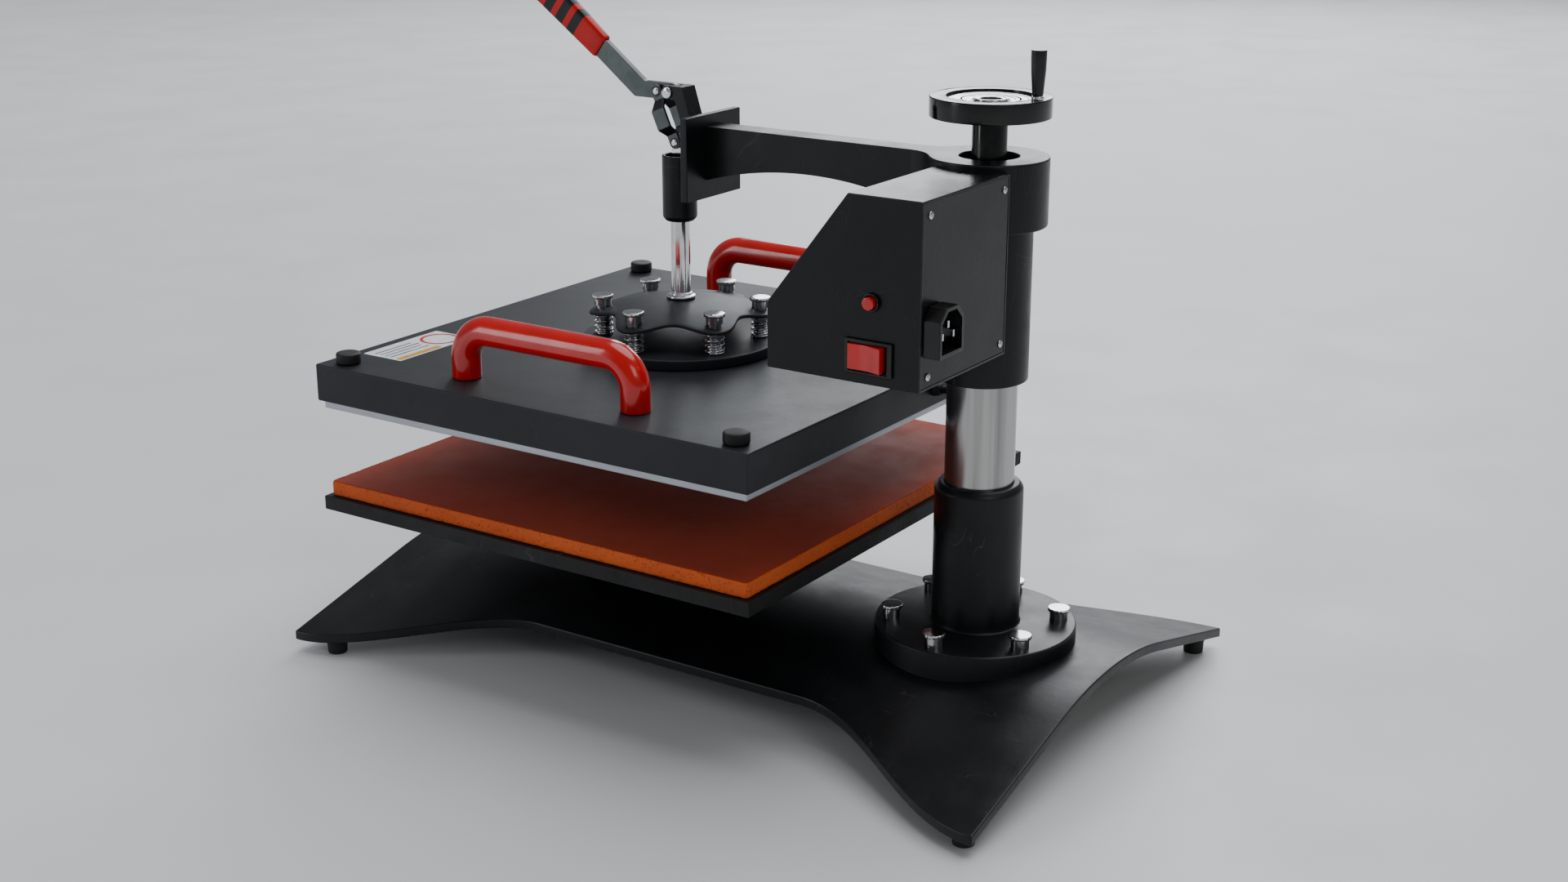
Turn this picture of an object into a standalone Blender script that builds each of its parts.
"""Swing-away heat press, modelled as separate named pieces.

Metres, +Z up, the operator stands at -Y. The origin is the middle of the base at the
surface the press stands on. The platens are centred on PLATEN_Y, the column on COLUMN_Y.
"""
import math

import bmesh
import bpy
import numpy as np
from mathutils import Matrix, Vector

MM = 0.001
GAP = 0.3 * MM
X, Z = Vector((1, 0, 0)), Vector((0, 0, 1))

# --- driving dimensions -------------------------------------------------------------------
PLATEN_Y = -68.6 * MM           # platen and plunger axis
COLUMN_Y = 185.4 * MM           # column axis, 254 mm behind the platen axis
PLATEN_SIZE = 380 * MM

BASE_HALF_WIDTH = 197.6 * MM
BASE_WAIST = 120.5 * MM         # half width at the waist
BASE_HALF_LENGTH = 292.5 * MM
BASE_WAIST_END = 115 * MM       # distance from the middle where the waist starts to widen
BASE_THICK = 7.2 * MM
BASE_CROWN_Z = 56.9 * MM
ARCH_RADIUS = 318 * MM
ARCH_HALF = 80 * MM             # the crown is round up to here, then the flanks are straight

FOOT_XS, FOOT_YS = (-181 * MM, 181 * MM), (-265 * MM, 278 * MM)
FOOT_R_TOP, FOOT_R_BOTTOM = 8.6 * MM, 7.2 * MM

FLANGE_R, FLANGE_TOP = 71.2 * MM, 68.5 * MM
SOCKET_R, SOCKET_TOP = 31 * MM, 172 * MM
POST_R, POST_BORE, POST_TOP = 24.3 * MM, 21.5 * MM, 322 * MM
FLANGE_BOLT_CIRCLE, FLANGE_BOLT_R, FLANGE_CAP_R = 58.8 * MM, 6.3 * MM, 7.9 * MM
BOLT_STEP, BOLT_HEIGHT = 7.2 * MM, 9.8 * MM
NUT_BOTTOM = 307 * MM

STAND_HALF, STAND_FOOT_HALF, STAND_HEAD_HALF = 32 * MM, 55 * MM, 88 * MM
STAND_PLATE = 8 * MM
LOWER_Z = (119 * MM, 129.6 * MM)
PAD_SIZE, PAD_TOP = 372 * MM, 140.9 * MM

HEAT_PLATE_SIZE = 373 * MM
HEAT_Z = (197 * MM, 202.4 * MM)
HEAT_BLOCK_SIZE, HEAT_BLOCK_TOP = 366 * MM, 218 * MM    # the cast heater inside the housing
HOUSING_Z, HOUSING_WALL = (202.8 * MM, 230.5 * MM), 3 * MM
DISC_R, DISC_Z = 74 * MM, (230.8 * MM, 238.5 * MM)
SPIDER_TOP, SPIDER_THICK, SPIDER_DOME = 267 * MM, 2.6 * MM, 7.8 * MM
SPIDER_R, SPIDER_WAVE = 61.5 * MM, 7.5 * MM
BOLT_CIRCLE, BOLT_TOP = 58.7 * MM, 268.6 * MM
SHANK_R, BARREL_R, CAP_R, CAP_THICK = 5.0 * MM, 6.2 * MM, 7.8 * MM, 2.8 * MM
SPRING_R, WIRE_R, SPRING_TURNS = 6.6 * MM, 0.65 * MM, 3.5

HANDLE_X, HANDLE_HALF, HANDLE_R = 155 * MM, 75 * MM, 10.5 * MM
HANDLE_Z, HANDLE_BEND = 267 * MM, 22 * MM
CORNER_CAP_XY, CORNER_CAP_R, CORNER_CAP_H = (175 * MM, 171 * MM), 9 * MM, 8 * MM

ARM_TOP, HUB_BOTTOM, HUB_R = 398.5 * MM, 352.5 * MM, 40.4 * MM
ARM_HALF, FLARE_R = 10 * MM, 24.6 * MM
ARM_ARCH_R, ARM_ARCH_Y, ARM_ARCH_TOP = 300 * MM, 49.4 * MM, 372.5 * MM
SLEEVE_R, SLEEVE_BOTTOM, SLEEVE_BORE = 31.1 * MM, 246 * MM, 24.8 * MM
HUB_HOLE_R, HUB_ROOF = 20 * MM, 389 * MM
BEARING_R, BEARING_BORE, BEARING_Z = 28.5 * MM, 12.2 * MM, (378 * MM, 388.6 * MM)

PLATE_HALF, PLATE_THICK = 33.5 * MM, 5.7 * MM
PLATE_BACK = PLATEN_Y + 31 * MM
PLATE_Z = (346.5 * MM, 406.8 * MM)
GUIDE_R, GUIDE_BORE, GUIDE_Z = 12.75 * MM, 7.5 * MM, (325.5 * MM, 373.8 * MM)
COUNTERBORE_R, COUNTERBORE_Z = 10.4 * MM, 360 * MM
WEB_HALF = 8 * MM

PIVOT = Vector((0, PLATEN_Y - 4.1 * MM, 419.3 * MM))
CRANK = Vector((0, -11.9 * MM, -0.2 * MM))
EYE = Vector((0, PLATEN_Y, 383.1 * MM))
BRACKET_HALF, SLOT_HALF = 8.15 * MM, 3.2 * MM
PIN_R, PIN_HOLE_R, PIN_HEAD_R = 2.4 * MM, 2.8 * MM, 4.2 * MM
LEVER_HALF, LEVER_END_R = 2.5 * MM, 6 * MM
GRIP_START, GRIP_LENGTH = 44 * MM, 120 * MM
# along the grip from its start: distance, half height, half width
GRIP_SECTIONS = ((0, 9 * MM, 3.4 * MM), (2 * MM, 9.6 * MM, 4 * MM), (GRIP_LENGTH / 2, 11 * MM, 5.2 * MM),
                 (GRIP_LENGTH - 6 * MM, 12.4 * MM, 6.4 * MM), (GRIP_LENGTH, 10.6 * MM, 4.6 * MM))
LEVER_WIDTH, LEVER_RISE, BEND_REACH = 15 * MM, math.radians(142.4), 24.8 * MM
ROD_R, ROD_COLLAR_R = 7.1 * MM, 10.8 * MM
EYE_HALF, EYE_R = 2.6 * MM, 5 * MM

WHEEL_R, WHEEL_INNER, WHEEL_BORE = 40.6 * MM, 29.4 * MM, 6.3 * MM
WHEEL_Z, WHEEL_FLOOR = (424.3 * MM, 438 * MM), 434.8 * MM
SHAFT_R, THREAD_R, COLLAR_R, SPINDLE_BOTTOM = 11.8 * MM, 8 * MM, 18 * MM, 270 * MM
# the knob's place on the wheel, its own radii and its top
KNOB_RADIUS, KNOB_ANGLE = 34.9 * MM, math.radians(87)
KNOB_NECK_R, KNOB_R, KNOB_TOP = 3.7 * MM, 5.2 * MM, 470.3 * MM

BOX_X = (32 * MM, 144.4 * MM)
BOX_BACK, BOX_FRONT, BOX_TOP_FRONT = 218.4 * MM, 105.3 * MM, 164.9 * MM
BOX_Z, BOX_KNEE = (274.7 * MM, 394.6 * MM), 318.1 * MM
SHEET = 1.6 * MM
BUTTON_YZ, BUTTON_R = (183.4 * MM, 328.1 * MM), 4.2 * MM
ROCKER_YZ, ROCKER_HALF = (182 * MM, 292.5 * MM), (12.7 * MM, 8.3 * MM)
ROCKER_TILT = math.radians(-7)
INLET_X, INLET_Z, INLET_BACK = (112 * MM, 142 * MM), (297.3 * MM, 328.7 * MM), 230.9 * MM
KEY_R, KEY_SPACING, KEY_DROP = 4.5 * MM, 20 * MM, 22 * MM
DISPLAY_HALF, DISPLAY_LOW, DISPLAY_HIGH = 32 * MM, -4 * MM, 34 * MM     # on the slanted face
DISPLAY_THICK, DISPLAY_RIM, DISPLAY_RECESS = 3 * MM, 6 * MM, 1.6 * MM

PALETTE = {
    "powder_black": ((0.016, 0.018, 0.022), 0.42, 0.0),
    "housing_blue": ((0.035, 0.040, 0.050), 0.45, 0.0),
    "chrome": ((0.78, 0.79, 0.80), 0.12, 1.0),
    "brushed_steel": ((0.55, 0.56, 0.58), 0.30, 1.0),
    "aluminium": ((0.62, 0.63, 0.65), 0.38, 1.0),
    "red_plastic": ((0.62, 0.010, 0.012), 0.22, 0.0),
    "silicone": ((0.55, 0.10, 0.025), 0.70, 0.0),
    "rubber": ((0.020, 0.020, 0.021), 0.75, 0.0),
    "black_plastic": ((0.014, 0.014, 0.015), 0.32, 0.0),
}


# --- making objects -----------------------------------------------------------------------
def clear_scene():
    for obj in list(bpy.data.objects):
        bpy.data.objects.remove(obj, do_unlink=True)


def material(slot):
    found = bpy.data.materials.get(slot)
    if found:
        return found
    colour, roughness, metallic = PALETTE[slot]
    made = bpy.data.materials.new(slot)
    made.use_nodes = True
    shader = made.node_tree.nodes["Principled BSDF"]
    shader.inputs["Base Color"].default_value = (*colour, 1)
    shader.inputs["Roughness"].default_value = roughness
    shader.inputs["Metallic"].default_value = metallic
    return made


def add(name, shape, slot, origin=(0, 0, 0)):
    """Turn a bmesh in world coordinates into an object whose origin is at origin."""
    bmesh.ops.recalc_face_normals(shape, faces=shape.faces)
    bmesh.ops.translate(shape, verts=shape.verts, vec=-Vector(origin))
    mesh = bpy.data.meshes.new(name)
    shape.to_mesh(mesh)
    shape.free()
    mesh.materials.append(material(slot))
    mesh.shade_smooth()
    mesh.set_sharp_from_angle(angle=math.radians(35))
    obj = bpy.data.objects.new(name, mesh)
    obj.location = origin
    bpy.context.scene.collection.objects.link(obj)
    return obj


def combine(target, shape, operation, name):
    """Cut shape from target, or fuse it on, with a Boolean modifier."""
    tool = add(name, shape, "powder_black")
    tool.hide_render = True
    tool.display_type = "WIRE"
    change = target.modifiers.new(name, "BOOLEAN")
    change.operation = operation
    change.solver = "EXACT"
    change.object = tool


def cut(target, shape, name):
    combine(target, shape, "DIFFERENCE", name)


def fuse(target, shape, name):
    combine(target, shape, "UNION", name)


def bevel(obj, width, segments=2, angle=40):
    edge = obj.modifiers.new("edge", "BEVEL")
    edge.width = width
    edge.segments = segments
    edge.limit_method = "ANGLE"
    edge.angle_limit = math.radians(angle)


# --- shapes, each a bmesh in world coordinates ----------------------------------------------
def box(low, high):
    shape = bmesh.new()
    bmesh.ops.create_cube(shape, size=1)
    size = Vector(high) - Vector(low)
    bmesh.ops.scale(shape, verts=shape.verts, vec=size)
    bmesh.ops.translate(shape, verts=shape.verts, vec=(Vector(high) + Vector(low)) / 2)
    return shape


def prism(outline, low, high, axis="x"):
    """Extrude an outline along an axis; its points are the two other coordinates in order."""
    place = {"x": lambda p, t: (t, p[0], p[1]),
             "y": lambda p, t: (p[0], t, p[1]),
             "z": lambda p, t: (p[0], p[1], t)}[axis]
    shape = bmesh.new()
    face = shape.faces.new([shape.verts.new(place(p, low)) for p in outline])
    grown = bmesh.ops.extrude_face_region(shape, geom=[face])
    verts = [v for v in grown["geom"] if isinstance(v, bmesh.types.BMVert)]
    bmesh.ops.translate(shape, verts=verts, vec=Vector(place((0, 0), high - low)))
    return shape


def turned(profile, centre, steps=32, axis=Z):
    """Spin a closed (radius, height) profile about an axis through centre."""
    shape = bmesh.new()
    verts = [shape.verts.new((r, 0, h)) for r, h in profile]
    face = shape.faces.new(verts)
    bmesh.ops.spin(shape, geom=[face], cent=(0, 0, 0), axis=(0, 0, 1),
                   angle=math.tau, steps=steps, use_duplicate=False)
    bmesh.ops.remove_doubles(shape, verts=shape.verts, dist=1e-6)
    inside = [f for f in shape.faces if all(abs(v.co.y) < 1e-7 and v.co.x > -1e-7 for v in f.verts)]
    bmesh.ops.delete(shape, geom=inside, context="FACES")
    turn = Z.rotation_difference(axis).to_matrix().to_4x4()
    bmesh.ops.transform(shape, matrix=Matrix.Translation(centre) @ turn, verts=shape.verts)
    return shape


def disc(radius, low, high, centre, steps=32, axis=Z, chamfer=0.0):
    rim = [(radius, low), (radius, high - chamfer), (radius - chamfer, high)] if chamfer else \
        [(radius, low), (radius, high)]
    return turned([(0, low), *rim, (0, high)], centre, steps, axis)


def ring(bore, radius, low, high, centre, steps=32, axis=Z):
    return turned([(bore, low), (radius, low), (radius, high), (bore, high)], centre, steps, axis)


def arc(centre, radius, start, end, steps):
    """Points of an arc, start and end in degrees."""
    return [(centre[0] + radius * math.cos(math.radians(a)), centre[1] + radius * math.sin(math.radians(a)))
            for a in np.linspace(start, end, steps + 1)]


def curve_tube(name, points, radius, resolution, slot):
    """A round tube along world points, as a curve with filled caps."""
    data = bpy.data.curves.new(name, "CURVE")
    data.dimensions = "3D"
    data.bevel_depth = radius
    data.bevel_resolution = resolution
    data.use_fill_caps = True
    spline = data.splines.new("POLY")
    spline.points.add(len(points) - 1)
    for knot, point in zip(spline.points, points):
        knot.co = (*point, 1)
    data.materials.append(material(slot))
    obj = bpy.data.objects.new(name, data)
    bpy.context.scene.collection.objects.link(obj)
    return obj


# --- base, feet and column ------------------------------------------------------------------
def arch_z(x):
    """Height of the base's upper face: a round crown with straight flanks."""
    edge = min(abs(x), ARCH_HALF)
    drop = ARCH_RADIUS - math.sqrt(ARCH_RADIUS ** 2 - edge ** 2)
    slope = ARCH_HALF / math.sqrt(ARCH_RADIUS ** 2 - ARCH_HALF ** 2)
    return BASE_CROWN_Z - drop - slope * (abs(x) - edge)


def base_half_width(y):
    """Half width of the base: straight at the waist, an ogee out to the corners."""
    t = (abs(y) - BASE_WAIST_END) / (BASE_HALF_LENGTH - BASE_WAIST_END)
    t = min(max(t, 0), 1)
    return BASE_WAIST + (BASE_HALF_WIDTH - BASE_WAIST) * t * t * (3 - 2 * t)


def arch_stations(edge):
    crown = list(np.linspace(-ARCH_HALF, ARCH_HALF, 11))
    return [-edge, *crown, edge]


def arched_sheet(half_width, ys, top, bottom):
    """A solid between two height functions of x, its half width a function of y."""
    shape = bmesh.new()
    rows = [[[shape.verts.new((x, y, face(x))) for x in arch_stations(half_width(y))] for y in ys]
            for face in (top, bottom)]
    count = len(rows[0][0])
    for grid in rows:
        for a, b in zip(grid, grid[1:]):
            for i in range(count - 1):
                shape.faces.new((a[i], a[i + 1], b[i + 1], b[i]))
    upper, lower = rows
    for end in (0, -1):
        for i in range(count - 1):
            shape.faces.new((upper[end][i], upper[end][i + 1], lower[end][i + 1], lower[end][i]))
        for j in range(len(ys) - 1):
            shape.faces.new((upper[j][end], upper[j + 1][end], lower[j + 1][end], lower[j][end]))
    return shape


def base_plate():
    flare = list(np.linspace(BASE_WAIST_END, BASE_HALF_LENGTH, 11))
    ys = [-y for y in reversed(flare)] + flare
    shape = arched_sheet(base_half_width, ys, arch_z, lambda x: arch_z(x) - BASE_THICK)
    add("base_plate", shape, "powder_black")


def rubber_feet():
    names = ("foot_front_left", "foot_front_right", "foot_back_left", "foot_back_right")
    places = [(x, y) for y in FOOT_YS for x in FOOT_XS]
    for name, (x, y) in zip(names, places):
        height = 20 * MM
        shape = turned([(0, 0), (FOOT_R_BOTTOM, 0), (FOOT_R_TOP, height), (0, height)], (x, y, 0), 20)
        for vert in shape.verts:
            if vert.co.z > height / 2:
                vert.co.z = arch_z(vert.co.x) - BASE_THICK - GAP
        add(name, shape, "rubber", (x, y, 0))


def arch_cutter(half, y_low, y_high):
    """The space at and under the base's crown, to seat a piece on it."""
    return arched_sheet(lambda y: half, [y_low, y_high], lambda x: arch_z(x) + GAP, lambda x: -10 * MM)


def column():
    centre = (0, COLUMN_Y, 0)
    low = 30 * MM
    lip = 2 * MM
    profile = [(POST_R + GAP, low), (FLANGE_R, low), (FLANGE_R, FLANGE_TOP - lip),
               (FLANGE_R - lip, FLANGE_TOP), (SOCKET_R, FLANGE_TOP), (SOCKET_R, SOCKET_TOP - 2 * lip),
               (SOCKET_R - 1.5 * lip, SOCKET_TOP), (POST_R + GAP, SOCKET_TOP)]
    socket = add("column_socket", turned(profile, centre, 48), "powder_black")
    cut(socket, arch_cutter(100 * MM, COLUMN_Y - 90 * MM, COLUMN_Y + 90 * MM), "socket_seat")
    for i in range(6):
        angle = math.radians(60 * i)
        x, y = FLANGE_BOLT_CIRCLE * math.cos(angle), COLUMN_Y + FLANGE_BOLT_CIRCLE * math.sin(angle)
        foot, step, top = FLANGE_TOP - 1 * MM, FLANGE_TOP + BOLT_STEP, FLANGE_TOP + BOLT_HEIGHT
        head = [(0, foot), (FLANGE_BOLT_R, foot), (FLANGE_BOLT_R, step), (FLANGE_CAP_R, step),
                (FLANGE_CAP_R, top), (0, top)]
        fuse(socket, turned(head, (x, y, 0), 12), f"flange_bolt_{i + 1}")
    add("post_tube", ring(POST_BORE, POST_R, BASE_CROWN_Z + GAP, POST_TOP, centre, 40), "brushed_steel")
    nut = ring(THREAD_R + 0.5 * MM, POST_BORE - GAP, NUT_BOTTOM, POST_TOP, centre, 24)
    add("screw_nut", nut, "brushed_steel")


def lower_platen():
    low = 30 * MM
    y = PLATEN_Y

    def block(half, bottom, top):
        return box((-half, y - half, bottom), (half, y + half, top))

    stand = add("platen_stand", block(STAND_HALF, low, LOWER_Z[0] - 2 * MM), "powder_black")
    fuse(stand, block(STAND_FOOT_HALF, low + 1 * MM, BASE_CROWN_Z + STAND_PLATE), "stand_foot")
    fuse(stand, block(STAND_HEAD_HALF, LOWER_Z[0] - STAND_PLATE, LOWER_Z[0] - GAP), "stand_head")
    cut(stand, arch_cutter(90 * MM, y - 90 * MM, y + 90 * MM), "stand_seat")
    slabs = (("lower_platen", PLATEN_SIZE, LOWER_Z[0], LOWER_Z[1], "powder_black"),
             ("silicone_pad", PAD_SIZE, LOWER_Z[1] + GAP, PAD_TOP, "silicone"))
    for name, size, bottom, top, slot in slabs:
        slab = add(name, block(size / 2, bottom, top), slot, (0, y, bottom))
        bevel(slab, 0.8 * MM, 1)


# --- heater, spider and springs ---------------------------------------------------------------
def spider_z(radius):
    return SPIDER_TOP - SPIDER_DOME * (radius / BOLT_CIRCLE) ** 2


def on_circle(i, radius=BOLT_CIRCLE):
    angle = math.radians(60 * i)
    return radius * math.cos(angle), PLATEN_Y + radius * math.sin(angle)


def spider_plate():
    """A domed six-lobed sheet, one lobe at each bolt."""
    shape = bmesh.new()
    steps, rings = 72, 5
    layers = []
    for drop in (0, SPIDER_THICK):
        centre = shape.verts.new((0, PLATEN_Y, SPIDER_TOP - drop))
        grid = []
        for k in range(1, rings + 1):
            row = []
            for i in range(steps):
                angle = math.tau * i / steps
                r = (SPIDER_R + SPIDER_WAVE * math.cos(6 * angle)) * k / rings
                place = (r * math.cos(angle), PLATEN_Y + r * math.sin(angle), spider_z(r) - drop)
                row.append(shape.verts.new(place))
            grid.append(row)
        for i in range(steps):
            shape.faces.new((centre, grid[0][i - 1], grid[0][i]))
            for inner, outer in zip(grid, grid[1:]):
                shape.faces.new((inner[i - 1], outer[i - 1], outer[i], inner[i]))
        layers.append(grid)
    for i in range(steps):
        top, bottom = layers[0][-1], layers[1][-1]
        shape.faces.new((top[i - 1], bottom[i - 1], bottom[i], top[i]))
    spider = add("spider_plate", shape, "housing_blue", (0, PLATEN_Y, SPIDER_TOP))
    for i in range(6):
        hole = disc(SHANK_R + 0.5 * MM, DISC_Z[1], BOLT_TOP, (*on_circle(i), 0), 16)
        cut(spider, hole, f"spider_hole_{i + 1}")


def spider_bolts_and_springs():
    seat = spider_z(BOLT_CIRCLE - BARREL_R) + GAP
    profile = [(0, DISC_Z[1] + GAP), (SHANK_R, DISC_Z[1] + GAP), (SHANK_R, seat), (BARREL_R, seat),
               (BARREL_R, BOLT_TOP - CAP_THICK), (CAP_R, BOLT_TOP - CAP_THICK), (CAP_R, BOLT_TOP - 0.5 * MM),
               (CAP_R - 0.5 * MM, BOLT_TOP), (0, BOLT_TOP)]
    low = DISC_Z[1] + GAP + WIRE_R
    high = spider_z(BOLT_CIRCLE + SPRING_R + WIRE_R) - SPIDER_THICK - GAP - WIRE_R
    for i in range(6):
        x, y = on_circle(i)
        add(f"spider_bolt_{i + 1}", turned(profile, (x, y, 0), 16), "chrome", (x, y, BOLT_TOP))
        count = round(SPRING_TURNS * 10)
        turns = [(x + SPRING_R * math.cos(math.tau * k / 10), y + SPRING_R * math.sin(math.tau * k / 10),
                  low + (high - low) * k / count) for k in range(count + 1)]
        curve_tube(f"spring_{i + 1}", turns, WIRE_R, 1, "chrome")


def heater():
    y = PLATEN_Y
    half = HEAT_PLATE_SIZE / 2
    slab = box((-half, y - half, HEAT_Z[0]), (half, y + half, HEAT_Z[1]))
    plate = add("heat_plate", slab, "aluminium", (0, y, HEAT_Z[0]))
    bevel(plate, 0.8 * MM, 1)
    half = HEAT_BLOCK_SIZE / 2
    block = box((-half, y - half, HEAT_Z[0] + 2 * MM), (half, y + half, HEAT_BLOCK_TOP))
    fuse(plate, block, "heater_block")
    half = PLATEN_SIZE / 2
    case = box((-half, y - half, HOUSING_Z[0]), (half, y + half, HOUSING_Z[1]))
    housing = add("heater_housing", case, "housing_blue", (0, y, HOUSING_Z[0]))
    bevel(housing, 1.2 * MM, 2)
    inner = half - HOUSING_WALL
    roof = HOUSING_Z[1] - HOUSING_WALL
    hollow = box((-inner, y - inner, HOUSING_Z[0] - 5 * MM), (inner, y + inner, roof))
    cut(housing, hollow, "housing_hollow")
    round_disc = disc(DISC_R, *DISC_Z, (0, y, 0), 48, chamfer=0.8 * MM)
    add("mounting_disc", round_disc, "powder_black", (0, y, DISC_Z[0]))
    dx, dy = CORNER_CAP_XY
    corners = (("front_left", -dx, -dy), ("front_right", dx, -dy),
               ("back_left", -dx, dy), ("back_right", dx, dy))
    bottom = HOUSING_Z[1] + GAP
    for where, x, offset in corners:
        cap = disc(CORNER_CAP_R, bottom, bottom + CORNER_CAP_H, (x, y + offset, 0), 20, chamfer=1 * MM)
        add(f"cap_{where}", cap, "rubber", (x, y + offset, bottom))


def handle_route(x):
    """One leg up, a bend, along the platen's edge, a bend and down."""
    front, back = PLATEN_Y - HANDLE_HALF, PLATEN_Y + HANDLE_HALF
    top, bend = HANDLE_Z, HANDLE_BEND
    start = [(front, HOUSING_Z[1] + GAP)] + arc((front + bend, top - bend), bend, 180, 90, 6)
    end = arc((back - bend, top - bend), bend, 90, 0, 6) + [(back, HOUSING_Z[1] + GAP)]
    return [(x, y, z) for y, z in start + end]


def handles():
    for name, x in (("handle_left", -HANDLE_X), ("handle_right", HANDLE_X)):
        curve_tube(name, handle_route(x), HANDLE_R, 4, "red_plastic")


# --- arm ----------------------------------------------------------------------------------------
def arm_casting():
    """Hub, sleeve and the arm that reaches forward, flared into the hub and arched below."""
    front = PLATE_BACK + GAP
    reach = math.sqrt((HUB_R + FLARE_R) ** 2 - (ARM_HALF + FLARE_R) ** 2)
    flare_y = COLUMN_Y - reach
    meet = math.degrees(math.atan2(reach, -(ARM_HALF + FLARE_R)))
    right = arc((ARM_HALF + FLARE_R, flare_y), FLARE_R, 180, meet, 6)
    outline = [(ARM_HALF, front), *right, (ARM_HALF, COLUMN_Y), (-ARM_HALF, COLUMN_Y)]
    outline += [(-x, y) for x, y in reversed(right)] + [(-ARM_HALF, front)]
    arch_centre = (ARM_ARCH_Y, ARM_ARCH_TOP - ARM_ARCH_R)
    beam = prism(outline, HUB_BOTTOM, ARM_TOP, "z")
    arm = add("arm_casting", beam, "powder_black", (0, COLUMN_Y, HUB_BOTTOM))
    under = [(front - 5 * MM, HUB_BOTTOM - 20 * MM), (COLUMN_Y - 20 * MM, HUB_BOTTOM - 20 * MM)]
    spread = math.degrees(math.asin((COLUMN_Y - 20 * MM - ARM_ARCH_Y) / ARM_ARCH_R))
    front_spread = math.degrees(math.asin((ARM_ARCH_Y - front + 5 * MM) / ARM_ARCH_R))
    under += arc(arch_centre, ARM_ARCH_R, 90 - spread, 90 + front_spread, 16)
    cut(arm, prism(under, -60 * MM, 60 * MM, "x"), "arm_arch")
    centre = (0, COLUMN_Y, 0)
    fuse(arm, disc(HUB_R, HUB_BOTTOM, ARM_TOP, centre, 48), "hub")
    fuse(arm, disc(SLEEVE_R, SLEEVE_BOTTOM, HUB_BOTTOM + 5 * MM, centre, 40), "sleeve")
    cut(arm, disc(SLEEVE_BORE, SLEEVE_BOTTOM - 5 * MM, HUB_BOTTOM, centre, 40), "sleeve_bore")
    cut(arm, disc(BEARING_R + 0.5 * MM, HUB_BOTTOM - 2 * MM, HUB_ROOF, centre, 40), "bearing_seat")
    cut(arm, disc(HUB_HOLE_R, HUB_ROOF - 2 * MM, ARM_TOP + 5 * MM, centre, 40), "hub_hole")
    bearing = ring(BEARING_BORE, BEARING_R, *BEARING_Z, centre, 32)
    add("thrust_bearing", bearing, "brushed_steel", centre)


def plunger_guide():
    low_y = PLATE_BACK - PLATE_THICK
    plate = add("front_plate", box((-PLATE_HALF, low_y, PLATE_Z[0]), (PLATE_HALF, PLATE_BACK, PLATE_Z[1])),
                "powder_black")
    bevel(plate, 0.6 * MM, 1)
    axis = (0, PLATEN_Y, 0)
    lip = 2.5 * MM
    low, high = GUIDE_Z
    tube = [(0, low), (GUIDE_R - lip, low), (GUIDE_R - 0.3 * lip, low + 0.3 * lip), (GUIDE_R, low + lip),
            (GUIDE_R, high - 1 * MM), (GUIDE_R - 1 * MM, high), (0, high)]
    guide = add("plunger_guide", turned(tube, axis, 32), "powder_black", axis)
    web = box((-WEB_HALF, PLATEN_Y, PLATE_Z[0]), (WEB_HALF, low_y - GAP, high - 0.5 * MM))
    fuse(guide, web, "guide_web")
    cut(guide, disc(GUIDE_BORE, low - 5 * MM, high + 5 * MM, axis, 32), "guide_bore")
    cut(guide, disc(COUNTERBORE_R, COUNTERBORE_Z, high + 6 * MM, axis, 32), "guide_counterbore")


# --- toggle ---------------------------------------------------------------------------------------
def toggle_bracket():
    """A leaning block on the guide's web, slotted for the lever's end."""
    y, z = PLATEN_Y, PIVOT.z
    foot = GUIDE_Z[1] + GAP
    lean = 0.315
    back_top, front_top = y + 8.9 * MM, y + 2.4 * MM
    neck = z - 5.4 * MM
    head = z + 4.9 * MM
    nose = y - 8.5 * MM
    outline = [(nose, head), (nose, z - 1 * MM), (nose + 2 * MM, z - 3.3 * MM), (front_top, neck),
               (front_top + lean * (neck - foot), foot), (back_top + lean * (head - foot), foot),
               (back_top, head)]
    bracket = add("toggle_bracket", prism(outline, -BRACKET_HALF, BRACKET_HALF), "powder_black")
    slot = box((-SLOT_HALF, y - 20 * MM, z - 12 * MM), (SLOT_HALF, y + 3 * MM, head + 5 * MM))
    cut(bracket, slot, "lever_slot")
    cut(bracket, disc(PIN_HOLE_R, -20 * MM, 20 * MM, PIVOT, 16, X), "bracket_hole")
    head_in, head_out = BRACKET_HALF + GAP, BRACKET_HALF + 1.9 * MM
    pin = [(0, -head_out), (PIN_HEAD_R, -head_out), (PIN_HEAD_R, -head_in), (PIN_R, -head_in),
           (PIN_R, head_in), (PIN_HEAD_R, head_in), (PIN_HEAD_R, head_out), (0, head_out)]
    add("pivot_pin", turned(pin, PIVOT, 16, X), "chrome", PIVOT)


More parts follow.
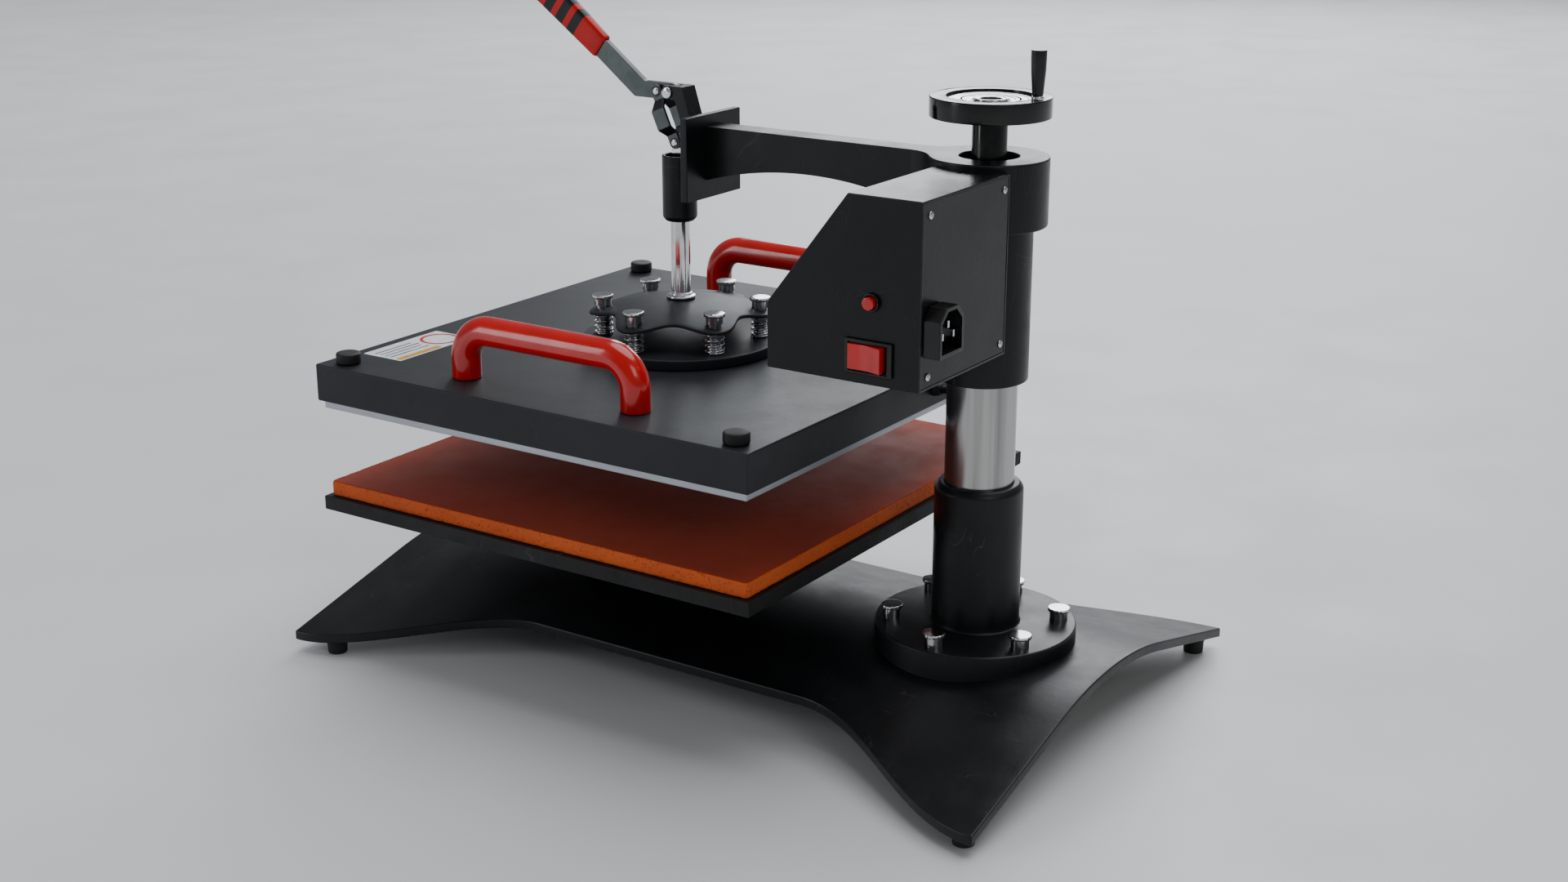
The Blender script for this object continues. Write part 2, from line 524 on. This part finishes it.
def lever():
    """A flat bar: a short level end with the two pivots, then the bar that rises forward."""
    py, pz = PIVOT.y, PIVOT.z
    along = Vector((math.cos(LEVER_RISE), math.sin(LEVER_RISE)))
    across = Vector((along.y, -along.x))
    bend_top = Vector((py - BEND_REACH, pz + LEVER_END_R))
    bend_bottom = bend_top - LEVER_WIDTH * across + 6.5 * MM * along
    bar_end = GRIP_START + GRIP_LENGTH - 12 * MM
    level = pz - LEVER_END_R
    reach = (level - bend_bottom.y) / along.y
    corner = bend_bottom + along * reach
    far_end = bend_top + along * bar_end
    outline = [tuple(far_end), tuple(far_end - LEVER_WIDTH * across), tuple(corner), (py, level),
               *arc((py, pz), LEVER_END_R, -75, 90, 6), tuple(bend_top)]
    bar = add("lever_bar", prism(outline, -LEVER_HALF, LEVER_HALF), "brushed_steel", PIVOT)
    cut(bar, disc(PIN_HOLE_R, -20 * MM, 20 * MM, PIVOT, 16, X), "lever_hole")
    start = bend_top + along * GRIP_START - LEVER_WIDTH / 2 * across
    grip = bmesh.new()
    rows = []
    for distance, half_height, half_width in GRIP_SECTIONS:
        middle = start + along * distance
        row = []
        for sx, sv in ((1, 1), (-1, 1), (-1, -1), (1, -1)):
            for tx, tv in (((1, 0.72), (0.72, 1)) if sx * sv > 0 else ((0.72, 1), (1, 0.72))):
                point = middle + across * sv * half_height * tv
                row.append(grip.verts.new((sx * half_width * tx, point.x, point.y)))
        rows.append(row)
    for a, b in zip(rows, rows[1:]):
        for i in range(8):
            grip.faces.new((a[i - 1], a[i], b[i], b[i - 1]))
    grip.faces.new(rows[0])
    grip.faces.new(rows[-1])
    sleeve = add("lever_grip", grip, "red_plastic", PIVOT)
    slot_half = LEVER_HALF + GAP
    side = across * (LEVER_WIDTH / 2 + GAP)
    near = start - along * 5 * MM
    far = start + along * (GRIP_LENGTH - 11 * MM)
    slot = [tuple(near + side), tuple(near - side), tuple(far - side), tuple(far + side)]
    cut(sleeve, prism(slot, -slot_half, slot_half), "grip_slot")


def link_strap(side):
    """A strap from the plunger's eye to the crank, bulged outward past the bracket."""
    crank = PIVOT + CRANK
    axis = crank - EYE
    length = axis.length
    axis.normalize()
    across = Vector((0, axis.z, -axis.y))
    thick = 2.5 * MM
    near, far = 3.0 * MM, 9.4 * MM
    end_r, mid_r = 4.6 * MM, 5.7 * MM
    turns = [math.radians(a) for a in (0, 30, 60, 90)]
    stations = [(-end_r * math.sin(a), end_r * math.cos(a), near) for a in reversed(turns)]
    stations += [(6.2 * MM, end_r, near), (12 * MM, mid_r, far),
                 (26 * MM, mid_r, far), (33 * MM, end_r, near)]
    stations += [(length + end_r * math.sin(a), end_r * math.cos(a), near) for a in turns]
    shape = bmesh.new()
    rows = []
    for along, half, inner in stations:
        half = max(half, 0.4 * MM)
        middle = EYE + axis * along
        rows.append([shape.verts.new(middle + across * s * half + X * side * (inner + t))
                     for s, t in ((1, 0), (-1, 0), (-1, thick), (1, thick))])
    for a, b in zip(rows, rows[1:]):
        for i in range(4):
            shape.faces.new((a[i - 1], a[i], b[i], b[i - 1]))
    shape.faces.new(rows[0])
    shape.faces.new(rows[-1])
    return shape


def links():
    for name, side in (("link_right", 1), ("link_left", -1)):
        strap = add(name, link_strap(side), "brushed_steel", EYE)
        cut(strap, disc(PIN_HOLE_R, -20 * MM, 20 * MM, EYE, 12, X), f"{name}_hole")
    add("link_pin", disc(PIN_R, -6.4 * MM, 6.4 * MM, EYE, 12, X), "chrome", EYE)


def plunger():
    low = SPIDER_TOP + GAP
    shoulder = EYE.z - 12 * MM
    step = ROD_R + 1.2 * MM
    profile = [(0, low), (ROD_COLLAR_R, low), (ROD_COLLAR_R, low + 2 * MM), (step, low + 2.6 * MM),
               (step, low + 4 * MM), (ROD_R, low + 4 * MM), (ROD_R, shoulder), (0, shoulder)]
    rod = add("plunger_rod", turned(profile, (0, PLATEN_Y, 0), 28), "chrome", (0, PLATEN_Y, low))
    y = PLATEN_Y
    root = shoulder - 3 * MM
    eye = [(y - EYE_R, root), (y + EYE_R, root), *arc((y, EYE.z), EYE_R, 0, 180, 10)]
    fuse(rod, prism(eye, -EYE_HALF, EYE_HALF), "rod_eye")
    cut(rod, disc(PIN_HOLE_R, -20 * MM, 20 * MM, EYE, 12, X), "eye_hole")


# --- handwheel --------------------------------------------------------------------------------------
def handwheel():
    centre = (0, COLUMN_Y, 0)
    low, high = WHEEL_Z
    edge = 1.2 * MM
    wheel = [(WHEEL_BORE, low), (WHEEL_R - edge, low), (WHEEL_R, low + edge), (WHEEL_R, high - edge),
             (WHEEL_R - edge, high), (WHEEL_INNER + edge, high), (WHEEL_INNER, high - edge),
             (WHEEL_INNER, WHEEL_FLOOR), (WHEEL_BORE, WHEEL_FLOOR)]
    add("handwheel", turned(wheel, centre, 40), "black_plastic", centre)
    collar_low, collar_high = BEARING_Z[0] - 8 * MM, BEARING_Z[0] - GAP
    tip, tip_top = WHEEL_BORE - GAP, WHEEL_FLOOR - 1 * MM
    spindle = [(0, SPINDLE_BOTTOM), (THREAD_R, SPINDLE_BOTTOM), (THREAD_R, collar_low),
               (COLLAR_R, collar_low), (COLLAR_R, collar_high), (SHAFT_R, collar_high),
               (SHAFT_R, low - GAP), (tip, low - GAP), (tip, tip_top), (0, tip_top)]
    add("spindle", turned(spindle, centre, 28), "black_plastic", centre)
    x = KNOB_RADIUS * math.cos(KNOB_ANGLE)
    y = COLUMN_Y + KNOB_RADIUS * math.sin(KNOB_ANGLE)
    knob_low = high + GAP
    neck, belly, edge = KNOB_NECK_R, KNOB_R, 0.6 * MM
    knob = [(0, knob_low), (neck, knob_low), (neck, knob_low + 2.5 * MM), (belly, KNOB_TOP - 5 * MM),
            (belly, KNOB_TOP - edge), (belly - edge, KNOB_TOP), (0, KNOB_TOP)]
    add("crank_knob", turned(knob, (x, y, 0), 20), "black_plastic", (x, y, knob_low))


# --- controller box ------------------------------------------------------------------------------------
def box_outline(inset):
    """Side view of the box (y, z), moved inward by inset on every face but the back."""
    low, high = BOX_Z
    slope = Vector((BOX_TOP_FRONT - BOX_FRONT, high - BOX_KNEE)).normalized()
    shift = inset / slope.y
    knee = BOX_KNEE + (inset - shift) * slope.y / slope.x if inset else BOX_KNEE
    top_front = BOX_TOP_FRONT + shift - inset * slope.x / slope.y
    back = BOX_BACK + (5 * MM if inset else 0)
    return [(BOX_FRONT + inset, low + inset), (BOX_FRONT + inset, knee), (top_front, high - inset),
            (back, high - inset), (back, low + inset)]


def slope_frame():
    """A frame on the slanted face: X across, Y up the slope, Z outward."""
    up = Vector((0, BOX_TOP_FRONT - BOX_FRONT, BOX_Z[1] - BOX_KNEE)).normalized()
    middle = Vector(((BOX_X[0] + BOX_X[1]) / 2, (BOX_TOP_FRONT + BOX_FRONT) / 2, (BOX_Z[1] + BOX_KNEE) / 2))
    out = X.cross(up)
    turn = Matrix((X, up, out)).transposed().to_4x4()
    return Matrix.Translation(middle) @ turn


def on_slope(shape, frame):
    bmesh.ops.transform(shape, matrix=frame, verts=shape.verts)
    return shape


def hub_clearance():
    return disc(HUB_R + 0.5 * MM, HUB_BOTTOM - 0.5 * MM, ARM_TOP + 5 * MM, (0, COLUMN_Y, 0), 48)


def control_box():
    low_x, high_x = BOX_X
    shell = add("box_shell", prism(box_outline(0), low_x, high_x), "powder_black")
    cut(shell, prism(box_outline(SHEET), low_x + SHEET, high_x - SHEET), "box_hollow")
    cut(shell, hub_clearance(), "hub_clearance")
    edge = SHEET + GAP
    rear = BOX_BACK - GAP
    panel = add("back_panel", box((low_x + edge, rear - SHEET, BOX_Z[0] + edge),
                                  (high_x - edge, rear, BOX_Z[1] - edge)), "powder_black")
    cut(panel, hub_clearance(), "panel_hub_clearance")
    frame = slope_frame()
    bezel = box((-DISPLAY_HALF, DISPLAY_LOW, GAP), (DISPLAY_HALF, DISPLAY_HIGH, DISPLAY_THICK))
    bezel = add("display_bezel", on_slope(bezel, frame), "black_plastic")
    inner = DISPLAY_HALF - DISPLAY_RIM
    window = box((-inner, DISPLAY_LOW + DISPLAY_RIM, DISPLAY_THICK - DISPLAY_RECESS),
                 (inner, DISPLAY_HIGH - DISPLAY_RIM, DISPLAY_THICK + 2 * MM))
    cut(bezel, on_slope(window, frame), "display_recess")
    for i, name in enumerate(("key_set", "key_down", "key_up")):
        x = (i - 1) * KEY_SPACING
        place = (x, -KEY_DROP, 0)
        cut(shell, on_slope(disc(KEY_R + 0.5 * MM, -6 * MM, 6 * MM, place, 20), frame), f"{name}_hole")
        cap = on_slope(disc(KEY_R, -3 * MM, 2.6 * MM, place, 20, chamfer=0.5 * MM), frame)
        add(name, cap, "rubber", frame @ Vector(place))


def switches():
    shell = bpy.data.objects["box_shell"]
    wall = BOX_X[1]
    y, z = BUTTON_YZ
    centre = (0, y, z)
    cut(shell, disc(BUTTON_R + 0.6 * MM, wall - 5 * MM, wall + 5 * MM, centre, 20, X), "button_hole")
    collar = ring(BUTTON_R + 0.5 * MM, 6.3 * MM, wall + GAP, wall + 2.6 * MM, centre, 24, X)
    add("breaker_ring", collar, "black_plastic")
    add("reset_button", disc(BUTTON_R, wall - 8 * MM, wall + 5.6 * MM, centre, 20, X, chamfer=0.8 * MM),
        "red_plastic", (wall, y, z))
    y, z = ROCKER_YZ
    half_y, half_z = ROCKER_HALF
    opening_y, opening_z = half_y + 1.7 * MM, half_z + 1.2 * MM
    low, high = (wall - 5 * MM, y - opening_y, z - opening_z), (wall + 5 * MM, y + opening_y, z + opening_z)
    cut(shell, box(low, high), "rocker_hole")
    frame_y, frame_z = 17.3 * MM, 11.3 * MM
    bezel = box((wall + GAP, y - frame_y, z - frame_z), (wall + 2.4 * MM, y + frame_y, z + frame_z))
    bezel = add("rocker_bezel", bezel, "black_plastic")
    cut(bezel, box(low, high), "bezel_opening")
    pivot = Vector((wall - 5 * MM, y, z))
    root, tip = -3 * MM, 10.4 * MM
    face = [(root, -half_y * 0.8), (tip, -half_y), (8.6 * MM, 0), (tip, half_y), (root, half_y * 0.8)]
    rocker = prism(face, -half_z, half_z, "z")
    tilt = Matrix.Rotation(ROCKER_TILT, 3, "Z")
    bmesh.ops.rotate(rocker, verts=rocker.verts, cent=(0, 0, 0), matrix=tilt)
    bmesh.ops.translate(rocker, verts=rocker.verts, vec=pivot)
    add("rocker", rocker, "red_plastic", pivot)


def power_inlet():
    (left, right), (low, high) = INLET_X, INLET_Z
    nick = 8 * MM
    front = BOX_BACK + GAP

    def outline(inset):
        trim = nick - inset * 0.4
        west, east, floor, roof = left + inset, right - inset, low + inset, high - inset
        return [(west, floor), (east, floor), (east, roof - trim), (east - trim, roof), (west + trim, roof),
                (west, roof - trim)]

    inlet = add("power_inlet", prism(outline(0), front, INLET_BACK, "y"), "black_plastic")
    cut(inlet, prism(outline(2.6 * MM), front + 2 * MM, INLET_BACK + 5 * MM, "y"), "inlet_socket")
    middle, centre_z = (left + right) / 2, (low + high) / 2
    blades = ((0, 4), (-7, -3), (7, -3))
    for i, (dx, dz) in enumerate(blades):
        x, z = middle + dx * MM, centre_z + dz * MM
        blade = box((x - 1 * MM, front + 1 * MM, z - 2.2 * MM),
                    (x + 1 * MM, INLET_BACK - 3 * MM, z + 2.2 * MM))
        fuse(inlet, blade, f"inlet_blade_{i + 1}")


def heater_lead():
    """The lead from the hub's underside, down behind the sleeve and forward to the housing."""
    knots = [(-34.6, 195.4, 352.5), (-34.6, 195.4, 330), (-34.8, 195.2, 290), (-35.4, 194, 262),
             (-38, 186, 248), (-42, 170, 236), (-45, 152, 224), (-46, 136, 217.5), (-46, 121.9, 216.5)]
    points = [Vector(k) * MM for k in knots]
    points[0].z -= GAP
    smooth = []
    for i in range(len(points) - 1):
        a, b = points[max(i - 1, 0)], points[i]
        c, d = points[i + 1], points[min(i + 2, len(points) - 1)]
        for t in np.linspace(0, 1, 4, endpoint=False):
            t = float(t)
            smooth.append(0.5 * ((2 * b) + (c - a) * t + (2 * a - 5 * b + 4 * c - d) * t ** 2
                                 + (3 * b - a - 3 * c + d) * t ** 3))
    smooth.append(points[-1])
    curve_tube("heater_lead", smooth, 3 * MM, 2, "rubber")


def main():
    clear_scene()
    base_plate()
    rubber_feet()
    column()
    lower_platen()
    heater()
    handles()
    spider_plate()
    spider_bolts_and_springs()
    arm_casting()
    plunger_guide()
    toggle_bracket()
    lever()
    links()
    plunger()
    handwheel()
    control_box()
    switches()
    power_inlet()
    heater_lead()


main()
